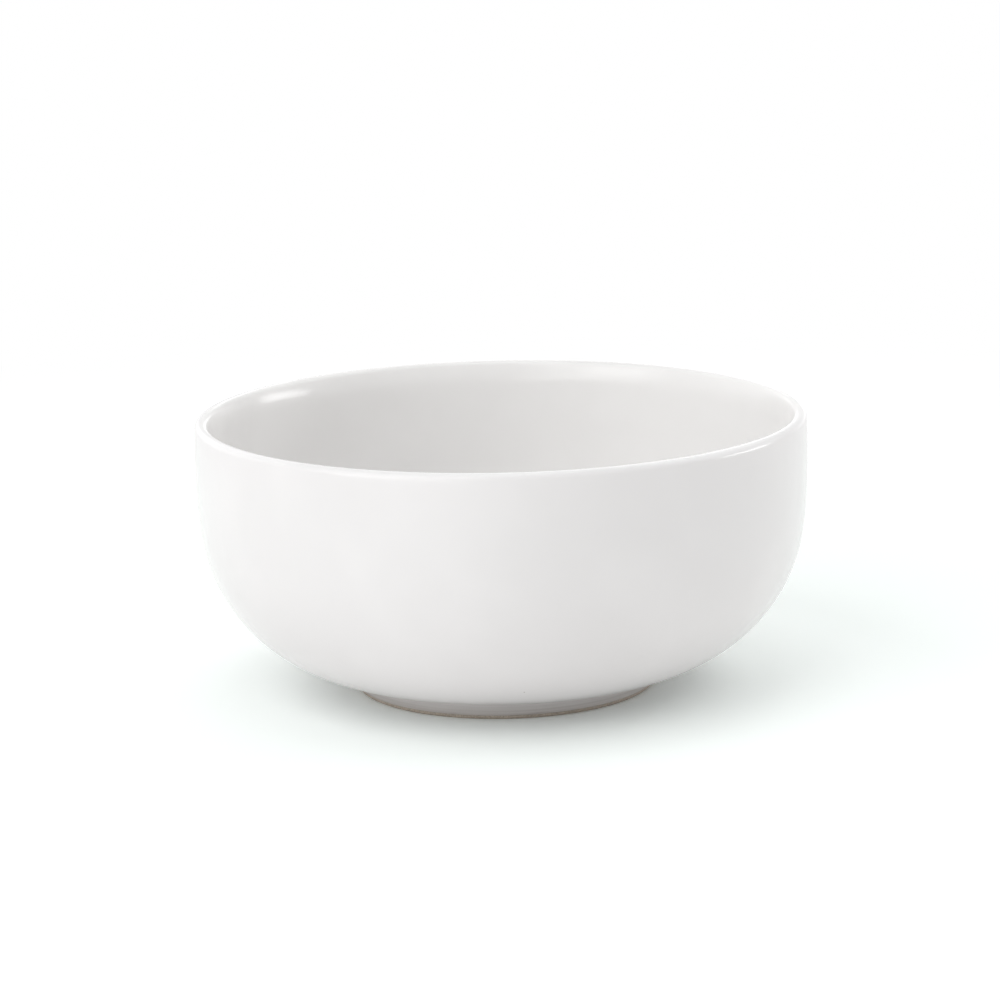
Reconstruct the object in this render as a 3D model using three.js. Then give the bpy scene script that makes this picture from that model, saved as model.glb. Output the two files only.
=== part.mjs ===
// A plain white glazed bowl, in millimetres, standing on its foot ring at z = 0 with +Z up.
// Every piece is a body of revolution about Z. The clay bowl and the foot ring are fired clay,
// and the inner, outer and foot-well glazes are thin coats fused to that clay.

import * as THREE from 'three';

// Driving sizes of the bowl, measured over its glaze
const OUTER_DIAMETER = 150; // at the belly, where the wall is widest
const HEIGHT = 67.6; // from the table to the crown of the rim
const BELLY_DROP = 10.2; // the belly lies this far below the crown
const WALL_BOW_RADIUS = 148; // the long upright bow of the wall
const HAUNCH_RADIUS = 40.2; // the turn from the wall to the underside
const WALL_THICKNESS = 4.2;
const RIM_RADIUS = 1.6; // the crown's round edge
const LIP_RADIUS = 17; // eases the crown into the inner wall
const FLOOR_THICKNESS = 4.7;

// Driving sizes of the foot
const FOOT_DIAMETER = 74.4; // over the glaze
const FOOT_HEIGHT = 4.3; // from the table to the glazed underside
const FOOT_RING_WIDTH = 4.2; // across the clay ring
const FOOT_EDGE_RADIUS = 0.5; // both lower edges of the clay ring
const FOOT_FILLET_RADIUS = 1.2; // glaze pooled in the corners of the foot
const BARE_BAND = 0.9; // clay wiped clean of glaze above the table

// Driving sizes of the glaze
const GLAZE_THICKNESS = 0.35;
const BOND_GAP = 0.03; // clearance between pieces that the kiln fuses

// Fineness of the facets
const SEGMENTS = 60; // around the bowl
const RIM_STEPS = 3; // on each half of the crown
const LIP_STEPS = 3;
const WALL_STEPS = 3;
const HAUNCH_STEPS = 9;
const FILLET_STEPS = 3;
const BEAD_STEPS = 2; // on the foot's edges and the glaze's lower edge

const QUARTER_TURN = Math.PI / 2;
const GLAZE_BACK = GLAZE_THICKNESS - BOND_GAP; // depth of the glaze's back below its face

const finishes = {
  clay: new THREE.MeshStandardMaterial({ color: 0xd8d0c4, roughness: 0.85, metalness: 0 }),
  innerGlaze: new THREE.MeshStandardMaterial({ color: 0xefeeed, roughness: 0.3, metalness: 0 }),
  outerGlaze: new THREE.MeshStandardMaterial({ color: 0xf0efee, roughness: 0.35, metalness: 0 }),
  footWellGlaze: new THREE.MeshStandardMaterial({ color: 0xebe9e6, roughness: 0.35, metalness: 0 }),
};

// Points are (radius, height) pairs in the half plane that is turned about Z.
function point(radius, height) {
  return new THREE.Vector2(radius, height);
}

function arc(centre, radius, from, to, steps) {
  const points = [];
  for (let step = 0; step <= steps; step += 1) {
    const angle = THREE.MathUtils.lerp(from, to, step / steps);
    points.push(point(centre.x + radius * Math.cos(angle), centre.y + radius * Math.sin(angle)));
  }
  return points;
}

// The two faces of the wall share one centre of bow, and the crown rounds off the outer face.
const bowCentre = point(OUTER_DIAMETER / 2 - WALL_BOW_RADIUS, HEIGHT - BELLY_DROP);
const innerBowRadius = WALL_BOW_RADIUS - WALL_THICKNESS;
const rimLean = Math.asin((HEIGHT - RIM_RADIUS - bowCentre.y) / (WALL_BOW_RADIUS - RIM_RADIUS));
const rimCentre = arc(bowCentre, WALL_BOW_RADIUS - RIM_RADIUS, rimLean, rimLean, 1)[0];

// The lower of the two points that lie at given distances from two centres.
function meeting(first, firstDistance, second, secondDistance) {
  const apart = first.distanceTo(second);
  const along = (firstDistance ** 2 - secondDistance ** 2 + apart ** 2) / (2 * apart);
  const aside = Math.sqrt(firstDistance ** 2 - along ** 2);
  const direction = second.clone().sub(first).divideScalar(apart);
  const downwards = point(direction.y, -direction.x);
  return first.clone().addScaledVector(direction, along).addScaledVector(downwards, aside);
}

function angleTo(from, to) {
  return Math.atan2(to.y - from.y, to.x - from.x);
}

// The lip is an arc that holds the crown and touches the inner wall.
const lipCentre = meeting(bowCentre, innerBowRadius + LIP_RADIUS, rimCentre, LIP_RADIUS - RIM_RADIUS);
const lipStart = angleTo(lipCentre, rimCentre);
const lipLean = angleTo(bowCentre, lipCentre);

// A haunch arc touches a wall's bow at one end and a level base at the other.
function haunchBetween(bowRadius, haunchRadius, baseHeight) {
  const height = baseHeight + haunchRadius;
  const rise = height - bowCentre.y;
  const run = Math.sqrt((bowRadius - haunchRadius) ** 2 - rise ** 2);
  return { centre: point(bowCentre.x + run, height), radius: haunchRadius, start: Math.atan2(rise, run) };
}

const outerHaunch = haunchBetween(WALL_BOW_RADIUS, HAUNCH_RADIUS, FOOT_HEIGHT);
const innerHaunchRadius = HAUNCH_RADIUS - (WALL_THICKNESS + FLOOR_THICKNESS) / 2;
const floorHeight = FOOT_HEIGHT + FLOOR_THICKNESS;
const innerHaunch = haunchBetween(innerBowRadius, innerHaunchRadius, floorHeight);

// The foot's glazed wall meets the underside in a fillet that touches both.
const footWall = FOOT_DIAMETER / 2;
const ringOuter = footWall - GLAZE_THICKNESS;
const ringInner = ringOuter - FOOT_RING_WIDTH;
const filletReach = Math.max(0, footWall + FOOT_FILLET_RADIUS - outerHaunch.centre.x);
const filletDrop = Math.sqrt((HAUNCH_RADIUS + FOOT_FILLET_RADIUS) ** 2 - filletReach ** 2);
const filletCentre = point(footWall + FOOT_FILLET_RADIUS, outerHaunch.centre.y - filletDrop);
const haunchEnd = Math.atan2(-filletDrop, filletReach);

// A point of the underside at a radius, at a depth below the glaze's face.
function undersidePoint(radius, depth) {
  const reach = Math.max(0, radius - outerHaunch.centre.x);
  const drop = Math.sqrt((HAUNCH_RADIUS - depth) ** 2 - reach ** 2);
  return point(radius, outerHaunch.centre.y - drop);
}

// A haunch offset by a depth, without the first point that it shares with the wall.
function haunchArc(haunch, offset, end) {
  return arc(haunch.centre, haunch.radius + offset, haunch.start, end, HAUNCH_STEPS).slice(1);
}

// The outside from the crown down to the foot's fillet, at a depth below the glaze's face.
function outsideCurve(depth) {
  return [
    ...arc(rimCentre, RIM_RADIUS - depth, QUARTER_TURN, rimLean, RIM_STEPS),
    ...arc(bowCentre, WALL_BOW_RADIUS - depth, rimLean, outerHaunch.start, WALL_STEPS).slice(1),
    ...haunchArc(outerHaunch, -depth, haunchEnd),
  ];
}

// The inside from near the crown down to the middle of the floor, at a depth below the glaze's face.
function insideCurve(depth, crown) {
  return [
    ...arc(rimCentre, RIM_RADIUS - depth, crown, lipStart, RIM_STEPS),
    ...arc(lipCentre, LIP_RADIUS - depth, lipStart, Math.PI + lipLean, LIP_STEPS).slice(1),
    ...arc(bowCentre, innerBowRadius + depth, lipLean, innerHaunch.start, WALL_STEPS).slice(1),
    ...haunchArc(innerHaunch, depth, -QUARTER_TURN),
    point(0, floorHeight - depth),
  ];
}

// The seat that the clay bowl and the foot ring share, from the ring's outer wall to its inner wall.
function seat(depth) {
  const radii = [ringOuter, (ringOuter + ringInner) / 2, ringInner];
  return radii.map((radius) => undersidePoint(radius, depth));
}

// The lower edge of a coat on an upright wall: a quarter-round bead, from the clay out to its face.
function bead(back, side) {
  const centre = point(back, BARE_BAND + GLAZE_BACK);
  const face = side > 0 ? 0 : -Math.PI;
  return arc(centre, GLAZE_BACK, -QUARTER_TURN, face, BEAD_STEPS);
}

// A section turned about Z. Its points run anticlockwise, from axis to axis or round a closed loop.
function turned(name, section, finish) {
  const geometry = new THREE.LatheGeometry(section, SEGMENTS);
  geometry.rotateX(QUARTER_TURN);
  const mesh = new THREE.Mesh(geometry, finish);
  mesh.name = name;
  return mesh;
}

function clayBowl() {
  const section = [
    undersidePoint(0, GLAZE_THICKNESS),
    undersidePoint(ringInner / 2, GLAZE_THICKNESS),
    ...seat(GLAZE_THICKNESS).reverse(),
    ...outsideCurve(GLAZE_THICKNESS).reverse(),
    ...insideCurve(GLAZE_THICKNESS, QUARTER_TURN).slice(1),
  ];
  return turned('clay_bowl', section, finishes.clay);
}

function footRing() {
  const edge = FOOT_EDGE_RADIUS;
  const section = [
    ...arc(point(ringInner + edge, edge), edge, -Math.PI, -QUARTER_TURN, BEAD_STEPS),
    ...arc(point(ringOuter - edge, edge), edge, -QUARTER_TURN, 0, BEAD_STEPS),
    ...seat(GLAZE_BACK),
  ];
  return turned('foot_ring', [...section, section[0]], finishes.clay);
}

function innerGlaze() {
  const crown = QUARTER_TURN + BOND_GAP / RIM_RADIUS;
  const section = [...insideCurve(GLAZE_BACK, crown).reverse(), ...insideCurve(0, crown)];
  return turned('inner_glaze', section, finishes.innerGlaze);
}

function outerGlaze() {
  const back = ringOuter + BOND_GAP;
  const section = [
    ...bead(back, 1),
    ...arc(filletCentre, FOOT_FILLET_RADIUS, Math.PI, haunchEnd + Math.PI, FILLET_STEPS).slice(0, -1),
    ...outsideCurve(0).reverse(),
    ...outsideCurve(GLAZE_BACK),
    undersidePoint(back, GLAZE_BACK),
  ];
  return turned('outer_glaze', [...section, section[0]], finishes.outerGlaze);
}

function footWellGlaze() {
  const back = ringInner - BOND_GAP;
  const face = ringInner - GLAZE_THICKNESS;
  const ceiling = undersidePoint(face - FOOT_FILLET_RADIUS, 0);
  const corner = point(ceiling.x, ceiling.y - FOOT_FILLET_RADIUS);
  const section = [
    undersidePoint(0, 0),
    ...arc(corner, FOOT_FILLET_RADIUS, QUARTER_TURN, 0, FILLET_STEPS),
    ...bead(back, -1).reverse(),
    undersidePoint(back, GLAZE_BACK),
    undersidePoint(ringInner / 2, GLAZE_BACK),
    undersidePoint(0, GLAZE_BACK),
  ];
  return turned('foot_well_glaze', section, finishes.footWellGlaze);
}

const bowl = new THREE.Group();
bowl.add(clayBowl(), footRing(), innerGlaze(), outerGlaze(), footWellGlaze());

export default bowl;
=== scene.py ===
import math

import bpy
import numpy as np
from mathutils import Matrix, Vector


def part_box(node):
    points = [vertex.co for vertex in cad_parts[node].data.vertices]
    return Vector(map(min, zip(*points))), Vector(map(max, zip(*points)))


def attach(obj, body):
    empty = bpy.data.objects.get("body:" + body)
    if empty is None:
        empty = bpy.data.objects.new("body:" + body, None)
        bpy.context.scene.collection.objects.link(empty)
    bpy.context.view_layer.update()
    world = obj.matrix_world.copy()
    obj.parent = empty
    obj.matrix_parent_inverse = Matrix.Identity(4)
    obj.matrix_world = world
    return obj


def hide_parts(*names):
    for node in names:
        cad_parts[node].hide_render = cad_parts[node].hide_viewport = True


# A white glazed bowl on a low foot ring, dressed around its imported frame.
# Lengths are in metres in the frame's axes: the table is z = 0 and the bowl is turned about +Z.
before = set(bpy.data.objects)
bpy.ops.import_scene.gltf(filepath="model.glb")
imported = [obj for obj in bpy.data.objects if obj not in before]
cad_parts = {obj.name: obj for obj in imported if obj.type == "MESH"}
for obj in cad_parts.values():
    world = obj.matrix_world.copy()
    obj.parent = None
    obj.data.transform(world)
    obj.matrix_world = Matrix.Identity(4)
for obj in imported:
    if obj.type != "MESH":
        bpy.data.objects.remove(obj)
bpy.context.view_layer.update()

MM = 0.001
QUARTER_TURN = math.pi / 2

# Sizes of the bowl over its glaze: the outermost ones come from the frame, the rest repeat its source
BELLY_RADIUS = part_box("outer_glaze")[1].x
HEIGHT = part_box("outer_glaze")[1].z
BELLY_DROP = 10.2 * MM  # from the crown of the rim down to the widest place
WALL_BOW_RADIUS = 148 * MM
HAUNCH_RADIUS = 40.2 * MM
WALL_THICKNESS = 4.2 * MM
RIM_RADIUS = 1.6 * MM
LIP_RADIUS = 17 * MM
FLOOR_THICKNESS = 4.7 * MM

# Sizes of the foot
FOOT_RADIUS = 37.2 * MM
FOOT_HEIGHT = 4.3 * MM
FOOT_RING_WIDTH = 4.2 * MM
FOOT_EDGE_RADIUS = 0.5 * MM
FOOT_FILLET_RADIUS = 1.2 * MM
BARE_BAND = 0.9 * MM

# Sizes of the glaze
GLAZE_THICKNESS = 0.35 * MM
BOND_GAP = 0.03 * MM
GLAZE_BACK = GLAZE_THICKNESS - BOND_GAP

# Fineness of the surfaces
TURN_STEPS = 320  # around the bowl
POINT_SPACING = 0.9 * MM  # along an arc of the section
LEAST_ARC_STEPS = 8
SEAT_POINTS = 9  # across the seat of the foot ring
LEAST_STEP = BOND_GAP / 10  # points of a section that lie closer than this are one
SHARP_EDGE = math.radians(40)


# The section, in the half plane of radius and height

def section_point(radius, height):
    return np.array([radius, height], float)


def arc(centre, radius, start, end):
    """Points centre + radius (cos a, sin a), with the angle a running evenly from start to end."""
    steps = max(LEAST_ARC_STEPS, math.ceil(radius * abs(end - start) / POINT_SPACING))
    angles = np.linspace(start, end, steps + 1)
    return centre + radius * np.column_stack([np.cos(angles), np.sin(angles)])


def angle_to(start, end):
    return math.atan2(end[1] - start[1], end[0] - start[0])


def lower_meeting(first, first_distance, second, second_distance):
    """The lower point at the given distances from two centres: along their line, then square to it."""
    apart = np.linalg.norm(second - first)
    along = (first_distance**2 - second_distance**2 + apart**2) / (2 * apart)
    aside = math.sqrt(first_distance**2 - along**2)
    direction = (second - first) / apart
    return first + along * direction + aside * np.array([direction[1], -direction[0]])


def haunch_between(bow_radius, haunch_radius, base_height):
    """The centre and first angle of an arc that touches a wall's bow and a level base."""
    height = base_height + haunch_radius
    rise = height - bow_centre[1]
    run = math.sqrt((bow_radius - haunch_radius) ** 2 - rise**2)
    return section_point(bow_centre[0] + run, height), math.atan2(rise, run)


# Both faces of the wall bow about one centre, and the small crown rounds off the outer face.
bow_centre = section_point(BELLY_RADIUS - WALL_BOW_RADIUS, HEIGHT - BELLY_DROP)
inner_bow_radius = WALL_BOW_RADIUS - WALL_THICKNESS
rim_lean = math.asin((BELLY_DROP - RIM_RADIUS) / (WALL_BOW_RADIUS - RIM_RADIUS))
rim_reach = WALL_BOW_RADIUS - RIM_RADIUS
rim_centre = bow_centre + rim_reach * np.array([math.cos(rim_lean), math.sin(rim_lean)])

# The lip is an arc that holds the crown and touches the inner face.
lip_centre = lower_meeting(bow_centre, inner_bow_radius + LIP_RADIUS, rim_centre, LIP_RADIUS - RIM_RADIUS)
lip_start = angle_to(lip_centre, rim_centre)
lip_lean = angle_to(bow_centre, lip_centre)

# The haunches turn the wall's two faces into the underside and the floor.
floor_height = FOOT_HEIGHT + FLOOR_THICKNESS
inner_haunch_radius = HAUNCH_RADIUS - (WALL_THICKNESS + FLOOR_THICKNESS) / 2
outer_haunch, outer_haunch_start = haunch_between(WALL_BOW_RADIUS, HAUNCH_RADIUS, FOOT_HEIGHT)
inner_haunch, inner_haunch_start = haunch_between(inner_bow_radius, inner_haunch_radius, floor_height)

# A fillet of pooled glaze joins the foot's wall to the underside.
ring_outer = FOOT_RADIUS - GLAZE_THICKNESS
ring_inner = ring_outer - FOOT_RING_WIDTH
fillet_reach = FOOT_RADIUS + FOOT_FILLET_RADIUS - outer_haunch[0]
fillet_drop = math.sqrt((HAUNCH_RADIUS + FOOT_FILLET_RADIUS) ** 2 - fillet_reach**2)
fillet_centre = section_point(FOOT_RADIUS + FOOT_FILLET_RADIUS, outer_haunch[1] - fillet_drop)
haunch_end = math.atan2(-fillet_drop, fillet_reach)


def underside_point(radius, depth):
    """The underside at a radius, at a depth below the glaze's face."""
    reach = max(0, radius - outer_haunch[0])
    return section_point(radius, outer_haunch[1] - math.sqrt((HAUNCH_RADIUS - depth) ** 2 - reach**2))


def outside_curve(depth):
    """The outside from the crown down to the foot's fillet: crown, bow and haunch arcs, at a depth."""
    return [
        arc(rim_centre, RIM_RADIUS - depth, QUARTER_TURN, rim_lean),
        arc(bow_centre, WALL_BOW_RADIUS - depth, rim_lean, outer_haunch_start),
        arc(outer_haunch, HAUNCH_RADIUS - depth, outer_haunch_start, haunch_end),
    ]


def inside_curve(depth):
    """The inside from the crown to the middle of the floor: crown, lip, bow and haunch arcs, at a depth."""
    return [
        arc(rim_centre, RIM_RADIUS - depth, QUARTER_TURN, lip_start),
        arc(lip_centre, LIP_RADIUS - depth, lip_start, math.pi + lip_lean),
        arc(bow_centre, inner_bow_radius + depth, lip_lean, inner_haunch_start),
        arc(inner_haunch, inner_haunch_radius + depth, inner_haunch_start, -QUARTER_TURN),
        [section_point(0, floor_height - depth)],
    ]


def seat(depth):
    """The face that the bowl and the foot ring share, from the ring's outer wall to its inner wall."""
    return [[underside_point(radius, depth) for radius in np.linspace(ring_outer, ring_inner, SEAT_POINTS)]]


def bead(back, side):
    """The rounded lower edge of a coat on the foot: a quarter circle from the clay out to the coat's face."""
    centre = section_point(back, BARE_BAND + GLAZE_BACK)
    return arc(centre, GLAZE_BACK, -QUARTER_TURN, 0 if side > 0 else -math.pi)


def backwards(runs):
    return [run[::-1] for run in reversed(runs)]


def joined(*runs):
    """The runs end to end as one array of points, without the points that repeat."""
    points = np.concatenate([np.asarray(run) for run in runs])
    steps = np.linalg.norm(np.diff(points, axis=0), axis=1)
    return points[np.concatenate([[True], steps > LEAST_STEP])]


# Turned surfaces

def turned_mesh(name, section):
    """
    A section (radius, height) carried round Z: x = radius cos t, y = radius sin t, z = height.
    A section that ends on the axis closes in a fan of triangles about one pole, and one that
    doesn't is a loop and closes on itself. The solid lies to the left of the section's direction.
    """
    has_poles = section[0, 0] < BOND_GAP
    rings = section[1:-1] if has_poles else section
    turns = np.linspace(0, 2 * math.pi, TURN_STEPS, endpoint=False)
    radius, turn = np.meshgrid(rings[:, 0], turns, indexing="ij")
    height = np.broadcast_to(rings[:, 1:], radius.shape)
    vertices = np.stack([radius * np.cos(turn), radius * np.sin(turn), height], axis=-1).reshape(-1, 3)
    index = np.arange(radius.size).reshape(radius.shape)
    if not has_poles:
        index = np.concatenate([index, index[:1]])
    ahead = np.roll(index, -1, axis=1)
    quads = np.stack([index[:-1], ahead[:-1], ahead[1:], index[1:]], axis=-1).reshape(-1, 4)
    faces = quads.tolist()
    if has_poles:
        first, last = radius.size, radius.size + 1
        poles = [[0, 0, section[0, 1]], [0, 0, section[-1, 1]]]
        vertices = np.concatenate([vertices, poles])
        first_fan = np.column_stack([np.full(TURN_STEPS, first), ahead[0], index[0]])
        last_fan = np.column_stack([np.full(TURN_STEPS, last), index[-1], ahead[-1]])
        faces += first_fan.tolist() + last_fan.tolist()
    mesh = bpy.data.meshes.new(name)
    mesh.from_pydata(vertices.tolist(), [], faces)
    mesh.shade_smooth()
    mesh.set_sharp_from_angle(angle=SHARP_EDGE)
    return mesh


def turned_piece(name, section, material, node):
    """A turned piece that stands for a CAD node and rides on the bowl's one body."""
    mesh = turned_mesh(name, section)
    mesh.materials.append(material)
    piece = bpy.data.objects.new(name, mesh)
    bpy.context.scene.collection.objects.link(piece)
    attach(piece, "root")
    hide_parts(node)


def clay_shell_section():
    """The clay under the glaze: underside, foot seat, outside and inside, from axis to axis."""
    underside = [underside_point(0, GLAZE_THICKNESS), underside_point(ring_inner, GLAZE_THICKNESS)]
    outside = backwards(outside_curve(GLAZE_THICKNESS))
    return joined(underside, *backwards(seat(GLAZE_THICKNESS)), *outside, *inside_curve(GLAZE_THICKNESS))


def foot_clay_section():
    """The clay ring: a level face with two rounded edges, upright walls and the seat on top."""
    inner_edge = section_point(ring_inner + FOOT_EDGE_RADIUS, FOOT_EDGE_RADIUS)
    outer_edge = section_point(ring_outer - FOOT_EDGE_RADIUS, FOOT_EDGE_RADIUS)
    return joined(
        arc(inner_edge, FOOT_EDGE_RADIUS, -math.pi, -QUARTER_TURN),
        arc(outer_edge, FOOT_EDGE_RADIUS, -QUARTER_TURN, 0),
        *seat(GLAZE_BACK),
    )


def liner_section():
    """The inner coat: its back from the middle of the floor to the crown, then its face back down."""
    return joined(*backwards(inside_curve(GLAZE_BACK)), *inside_curve(0))


def outside_coat_section():
    """The outer coat: bead, fillet and face up to the crown, then its back down to the foot's seat."""
    back = ring_outer + BOND_GAP
    return joined(
        bead(back, 1),
        arc(fillet_centre, FOOT_FILLET_RADIUS, math.pi, haunch_end + math.pi),
        *backwards(outside_curve(0)),
        *outside_curve(GLAZE_BACK),
        [underside_point(back, GLAZE_BACK)],
    )


def foot_well_section():
    """The coat in the foot's well: ceiling, corner fillet and wall, then its back up to the axis."""
    back = ring_inner - BOND_GAP
    face = ring_inner - GLAZE_THICKNESS
    ceiling = underside_point(face - FOOT_FILLET_RADIUS, 0)
    corner = section_point(ceiling[0], ceiling[1] - FOOT_FILLET_RADIUS)
    return joined(
        [underside_point(0, 0)],
        arc(corner, FOOT_FILLET_RADIUS, QUARTER_TURN, 0),
        bead(back, -1)[::-1],
        [underside_point(back, GLAZE_BACK), underside_point(0, GLAZE_BACK)],
    )


# Materials

PURE_WHITE = (1, 1, 1, 1)


def linear(hex_colour):
    """An sRGB hex colour as linear RGBA."""
    channels = np.array([int(hex_colour[place:place + 2], 16) for place in (1, 3, 5)]) / 255
    curve = ((channels + 0.055) / 1.055) ** 2.4
    return (*np.where(channels <= 0.04045, channels / 12.92, curve).tolist(), 1)


def add_node(tree, kind, inputs, **settings):
    """A node with its settings; each input is a constant or another node's output socket."""
    node = tree.nodes.new(kind)
    for name, value in settings.items():
        setattr(node, name, value)
    for socket, value in inputs.items():
        if isinstance(value, bpy.types.NodeSocket):
            tree.links.new(value, node.inputs[socket])
        else:
            node.inputs[socket].default_value = value
    return node


def new_material(name):
    material = bpy.data.materials.new(name)
    material.use_nodes = True
    material.node_tree.nodes.clear()
    return material, material.node_tree


# Places of the colour sockets on a Mix node, whose names repeat for each kind of value
MIX_FACTOR, MIX_A, MIX_B, MIX_RESULT = 0, 6, 7, 2

CLOUD_SIZE = 30 * MM  # soft patches where the coat is a little thinner
RIPPLE_SIZE = 1.6 * MM  # the faint orange peel of a fired glaze
RIPPLE_DEPTH = 0.004 * MM
SHEEN_PATCH_SIZE = 9 * MM
SPECK_SPACING = 13 * MM
SPECK_RADIUS = 0.22 * MM
STREAK_HEIGHT = 0.5 * MM  # marks of the turning tool under the thin glaze of the foot
STREAK_LENGTH = 45 * MM
FOOT_THINNING_AND_SHADE_START = FOOT_HEIGHT + 1.4 * MM  # height from which the coat thins over the foot and darkens towards the table, partly as painted shade
GRAIN_SIZE = 0.35 * MM  # sand in the clay
GRAIN_DEPTH = 0.035 * MM
SPECK_CORE = 0.5  # share of a speck's radius that has its full colour
IRON_SPECK = "#A09A94"
CERAMIC_IOR = 1.5
GLAZE_ROUGHNESS = (0.16, 0.2)
THIN_GLAZE_ROUGHNESS = (0.35, 0.42)
CLAY_ROUGHNESS = 0.85

# The spans of a noise, about its middle, over which a pattern eases from one value to the other
CLEAR_SPAN = (0.35, 0.65)
SOFT_SPAN = (0.3, 0.7)


def mixed(tree, factor, first, second):
    """The colour between two colours at a factor."""
    mix = add_node(tree, "ShaderNodeMix", {MIX_FACTOR: factor, MIX_A: first, MIX_B: second}, data_type="RGBA")
    return mix.outputs[MIX_RESULT]


def ranged(tree, value, start, end, low, high):
    """A value eased from low at start to high at end."""
    ease = add_node(tree, "ShaderNodeMapRange", {
        "Value": value, "From Min": start, "From Max": end, "To Min": low, "To Max": high,
    }, interpolation_type="SMOOTHSTEP")
    return ease.outputs["Result"]


def glaze_white(tree, place, white, cloud):
    """White with soft clouds and a few pin specks of iron."""
    clouds = add_node(tree, "ShaderNodeTexNoise", {"Vector": place, "Scale": 1 / CLOUD_SIZE, "Detail": 2})
    thinner = ranged(tree, clouds.outputs["Fac"], *CLEAR_SPAN, 0, 1)
    clouded = mixed(tree, thinner, linear(white), linear(cloud))
    specks = add_node(tree, "ShaderNodeTexVoronoi", {"Vector": place, "Scale": 1 / SPECK_SPACING})
    reach = SPECK_RADIUS / SPECK_SPACING
    speckled = ranged(tree, specks.outputs["Distance"], SPECK_CORE * reach, reach, 1, 0)
    return mixed(tree, speckled, clouded, linear(IRON_SPECK))


def glaze_sheen(tree, place, low, high):
    """Roughness that drifts a little between two values."""
    patches = add_node(tree, "ShaderNodeTexNoise", {"Vector": place, "Scale": 1 / SHEEN_PATCH_SIZE})
    return ranged(tree, patches.outputs["Fac"], *SOFT_SPAN, low, high)


def glaze_ripple(tree, place):
    """The normal of a skin with a faint orange peel."""
    ripple = add_node(tree, "ShaderNodeTexNoise", {"Vector": place, "Scale": 1 / RIPPLE_SIZE, "Detail": 1})
    bump = add_node(tree, "ShaderNodeBump", {"Distance": RIPPLE_DEPTH, "Height": ripple.outputs["Fac"]})
    return bump.outputs["Normal"]


def finish_material(tree, **inputs):
    """The surface shader; each word is a socket's name in lower case with low lines for spaces."""
    sockets = {}
    for word, value in inputs.items():
        name = "IOR" if word == "ior" else word.replace("_", " ").title()
        sockets[name] = value
    shader = add_node(tree, "ShaderNodeBsdfPrincipled", sockets)
    add_node(tree, "ShaderNodeOutputMaterial", {"Surface": shader.outputs["BSDF"]})


def outside_glaze():
    """
    Satin white glaze, dipped and fired on stoneware: an even soft sheen on the wall. It was wiped
    thin on the foot, where the warm clay shows through with the streaks of the turning tool; the foot's
    colour is also made darker towards the table as painted shade under the bowl.
    """
    material, tree = new_material("satin_white_glaze_dipped")
    place = add_node(tree, "ShaderNodeTexCoord", {}).outputs["Object"]
    white = glaze_white(tree, place, "#EFEEEE", "#ECEBEB")
    height = add_node(tree, "ShaderNodeSeparateXYZ", {"Vector": place}).outputs["Z"]
    streak_scale = (1 / STREAK_LENGTH, 1 / STREAK_LENGTH, 1 / STREAK_HEIGHT)
    along = add_node(tree, "ShaderNodeMapping", {"Vector": place, "Scale": streak_scale})
    streaks = add_node(tree, "ShaderNodeTexNoise", {
        "Vector": along.outputs["Vector"], "Scale": 1, "Detail": 2,
    })
    streaked = ranged(tree, streaks.outputs["Fac"], *SOFT_SPAN, 0, 1)
    # The foot's thin glaze over warm clay, made darker than that alone: partly painted shade under the bowl
    thin = mixed(tree, streaked, linear("#B8B3AF"), linear("#C8C4C1"))
    # Darker towards the table: partly thinner glaze, partly painted shade
    thinning_and_painted_shade = ranged(tree, height, FOOT_THINNING_AND_SHADE_START, BARE_BAND, 0, 1)
    finish_material(
        tree,
        base_color=mixed(tree, thinning_and_painted_shade, white, thin),
        roughness=glaze_sheen(tree, place, *GLAZE_ROUGHNESS),
        ior=CERAMIC_IOR,
        normal=glaze_ripple(tree, place),
    )
    return material


def liner_glaze():
    """The same satin white glaze poured inside, a little whiter than the outside coat, as painted light that
    brightens the inside.
    """
    material, tree = new_material("satin_white_glaze_poured")
    place = add_node(tree, "ShaderNodeTexCoord", {}).outputs["Object"]
    finish_material(
        tree,
        # A whiter white than the outside coat's: painted light on the inside of the bowl
        base_color=glaze_white(tree, place, "#F1F0EF", "#EEEDEC"),
        roughness=glaze_sheen(tree, place, *GLAZE_ROUGHNESS),
        ior=CERAMIC_IOR,
        normal=glaze_ripple(tree, place),
    )
    return material


def foot_well_glaze():
    """A thin coat of the same glaze in the foot's well, so the clay warms it."""
    material, tree = new_material("satin_white_glaze_thin")
    place = add_node(tree, "ShaderNodeTexCoord", {}).outputs["Object"]
    finish_material(
        tree,
        base_color=glaze_white(tree, place, "#E9E5E1", "#E4DFDA"),
        roughness=glaze_sheen(tree, place, *THIN_GLAZE_ROUGHNESS),
        ior=CERAMIC_IOR,
        normal=glaze_ripple(tree, place),
    )
    return material


def bare_clay():
    """Fired stoneware without glaze: matt, warm grey and sandy."""
    material, tree = new_material("bare_stoneware_fired")
    place = add_node(tree, "ShaderNodeTexCoord", {}).outputs["Object"]
    grain = add_node(tree, "ShaderNodeTexNoise", {"Vector": place, "Scale": 1 / GRAIN_SIZE, "Detail": 3})
    sand = grain.outputs["Fac"]
    bump = add_node(tree, "ShaderNodeBump", {"Distance": GRAIN_DEPTH, "Height": sand})
    finish_material(
        tree,
        base_color=mixed(tree, ranged(tree, sand, *CLEAR_SPAN, 0, 1), linear("#A3988B"), linear("#BDB2A5")),
        roughness=CLAY_ROUGHNESS,
        ior=CERAMIC_IOR,
        normal=bump.outputs["Normal"],
    )
    return material


clay = bare_clay()
turned_piece("clay_shell", clay_shell_section(), clay, "clay_bowl")
turned_piece("foot_clay_ring", foot_clay_section(), clay, "foot_ring")
turned_piece("liner_glaze_coat", liner_section(), liner_glaze(), "inner_glaze")
turned_piece("outside_glaze_coat", outside_coat_section(), outside_glaze(), "outer_glaze")
turned_piece("foot_well_coat", foot_well_section(), foot_well_glaze(), "foot_well_glaze")

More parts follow.
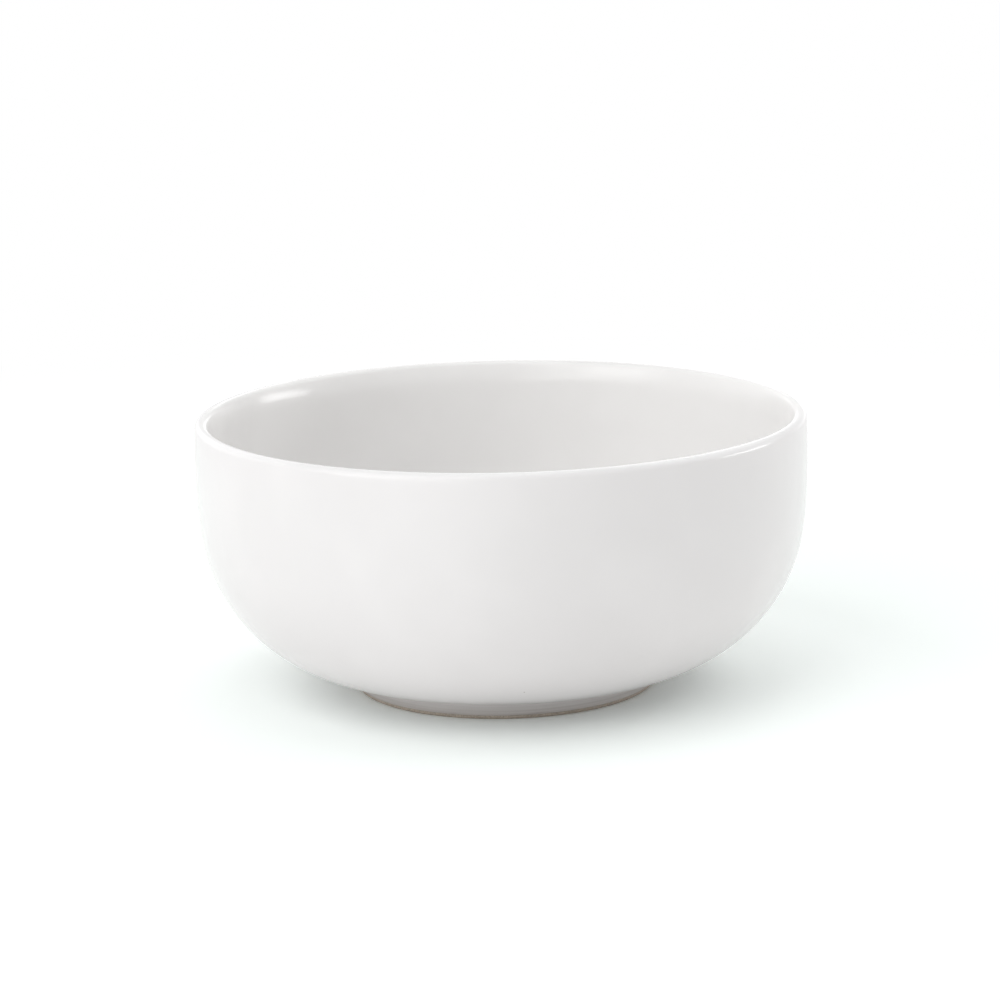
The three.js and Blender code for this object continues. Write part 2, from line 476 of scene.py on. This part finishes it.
# The camera
FOCAL_LENGTH = 126  # in mm
SENSOR_WIDTH = 36  # in mm
NEAR_CLIP = 0.01
CAMERA_DISTANCE = 0.872
CAMERA_ELEVATION = math.radians(15.154)  # of the camera, seen from the middle of the foot
CAMERA_PITCH = math.radians(12.228)  # below level
CAMERA_YAW = math.radians(-0.039)
CAMERA_ROLL = math.radians(-1.251)


def place_camera():
    camera = bpy.data.cameras.new("camera")
    camera.lens = FOCAL_LENGTH
    camera.sensor_width = SENSOR_WIDTH
    camera.clip_start = NEAR_CLIP
    holder = bpy.data.objects.new("camera", camera)
    bpy.context.scene.collection.objects.link(holder)
    level = Matrix.Rotation(QUARTER_TURN - CAMERA_PITCH, 4, "X")
    turned = Matrix.Rotation(-CAMERA_YAW, 4, "Z") @ level @ Matrix.Rotation(CAMERA_ROLL, 4, "Z")
    place = Vector((0, -math.cos(CAMERA_ELEVATION), math.sin(CAMERA_ELEVATION))) * CAMERA_DISTANCE
    holder.matrix_world = Matrix.Translation(place) @ turned
    bpy.context.scene.camera = holder


place_camera()

# The floor: a round sheet, open under the foot's face so that a view from below isn't dark there
FLOOR_REACH = 3
FLOOR_OPENING = ring_outer - FOOT_EDGE_RADIUS
FLOOR_FADE_START = 0.25  # beyond this the floor fades to plain white for the camera
FLOOR_FADE_END = 0.5
FLOOR_SEEN_GAIN = 1.14  # the camera sees the lit paper just over white, so only its shadow is grey


def seen_directly(tree):
    """1 where the camera looks, straight or by way of a shiny or clear surface, and 0 for light that falls."""
    path = add_node(tree, "ShaderNodeLightPath", {}).outputs
    mirrored = add_node(tree, "ShaderNodeMath", {
        0: path["Is Glossy Ray"], 1: path["Is Transmission Ray"],
    }, operation="MAXIMUM").outputs[0]
    seen = add_node(tree, "ShaderNodeMath", {0: path["Is Camera Ray"], 1: mirrored}, operation="MAXIMUM")
    return seen.outputs[0]


def lay_floor():
    """White paper that bounces light as paper does; the camera sees it clean white with a cool shadow."""
    material, tree = new_material("white_paper_floor")
    seen = seen_directly(tree)
    place = add_node(tree, "ShaderNodeTexCoord", {}).outputs["Object"]
    distance = add_node(tree, "ShaderNodeVectorMath", {0: place}, operation="LENGTH").outputs["Value"]
    far = ranged(tree, distance, FLOOR_FADE_START, FLOOR_FADE_END, 0, 1)
    faded = add_node(tree, "ShaderNodeMath", {0: far, 1: seen}, operation="MULTIPLY").outputs[0]
    seen_white = tuple(FLOOR_SEEN_GAIN * channel for channel in linear("#F9FEFC"))
    colour = mixed(tree, seen, linear("#F2F1F0"), seen_white)
    paper = add_node(tree, "ShaderNodeBsdfDiffuse", {"Color": colour}).outputs["BSDF"]
    white = add_node(tree, "ShaderNodeEmission", {"Color": PURE_WHITE, "Strength": 1}).outputs["Emission"]
    above = add_node(tree, "ShaderNodeMixShader", {0: faded, 1: paper, 2: white}).outputs["Shader"]
    under = add_node(tree, "ShaderNodeNewGeometry", {}).outputs["Backfacing"]
    clear = add_node(tree, "ShaderNodeBsdfTransparent", {}).outputs["BSDF"]
    both = add_node(tree, "ShaderNodeMixShader", {0: under, 1: above, 2: clear}).outputs["Shader"]
    add_node(tree, "ShaderNodeOutputMaterial", {"Surface": both})
    turns = np.linspace(0, 2 * math.pi, TURN_STEPS, endpoint=False)
    circle = np.column_stack([np.cos(turns), np.sin(turns), np.zeros(TURN_STEPS)])
    vertices = np.concatenate([FLOOR_OPENING * circle, FLOOR_REACH * circle])
    edge = np.arange(TURN_STEPS)
    ahead = np.roll(edge, -1)
    quads = np.column_stack([edge, edge + TURN_STEPS, ahead + TURN_STEPS, ahead])
    mesh = bpy.data.meshes.new("floor")
    mesh.from_pydata(vertices.tolist(), [], quads.tolist())
    mesh.materials.append(material)
    floor = bpy.data.objects.new("floor", mesh)
    bpy.context.scene.collection.objects.link(floor)


lay_floor()

# Lamps: flat softboxes at one distance that face the bowl
LAMP_DISTANCE = 2


def hang_softbox(name, azimuth, elevation, across, up, radiance):
    """
    A softbox in a direction: azimuth is 0 at the camera and + to its right, and elevation is above
    the table. Seen from the bowl it spans the angles across and up, all in degrees, at a radiance.
    """
    turn, lift = math.radians(azimuth), math.radians(elevation)
    lamp = bpy.data.lights.new(name, "AREA")
    lamp.shape = "RECTANGLE"
    lamp.size = 2 * LAMP_DISTANCE * math.tan(math.radians(across) / 2)
    lamp.size_y = 2 * LAMP_DISTANCE * math.tan(math.radians(up) / 2)
    lamp.energy = radiance * math.pi * lamp.size * lamp.size_y
    holder = bpy.data.objects.new(name, lamp)
    bpy.context.scene.collection.objects.link(holder)
    tilt = Matrix.Rotation(turn, 4, "Z") @ Matrix.Rotation(QUARTER_TURN - lift, 4, "X")
    holder.matrix_world = tilt @ Matrix.Translation((0, 0, LAMP_DISTANCE))


# Name, azimuth, elevation, angle across, angle up and radiance, where 1 is white
SOFTBOXES = (
    ("left_softbox", -46, 30, 50, 40, 1.15),
    ("left_window", -49, 20, 26, 16, 1.5),
    ("left_low", -36, 5, 48, 9, 1.8),
    ("left_high", -50, 58, 50, 16, 1.4),
    ("right_softbox", 100, 6.3, 26, 12, 5),
    ("right_fill", 105, 24, 44, 22, 0.5),
    ("right_back", 148, 4, 26, 7, 0.5),
    ("right_high", 130, 50, 70, 30, 0.8),
    ("back_strip", 172, 3.5, 20, 6.5, 1.2),
    ("back_high", 176, 25, 20, 10, 1.2),
    ("back_left", -135, 25, 60, 40, 0.5),
    ("top", 0, 88, 24, 24, 1.4),
)
for softbox in SOFTBOXES:
    hang_softbox(*softbox)

AMBIENT = 0.5


def light_world():
    """Even white fill from all round, which the camera and reflections see as plain white."""
    world = bpy.data.worlds.new("studio")
    world.use_nodes = True
    tree = world.node_tree
    tree.nodes.clear()
    strength = ranged(tree, seen_directly(tree), 0, 1, AMBIENT, 1)
    fill = add_node(tree, "ShaderNodeBackground", {"Color": PURE_WHITE, "Strength": strength})
    add_node(tree, "ShaderNodeOutputWorld", {"Surface": fill.outputs["Background"]})
    bpy.context.scene.world = world


light_world()
bpy.context.scene.view_settings.view_transform = "Standard"
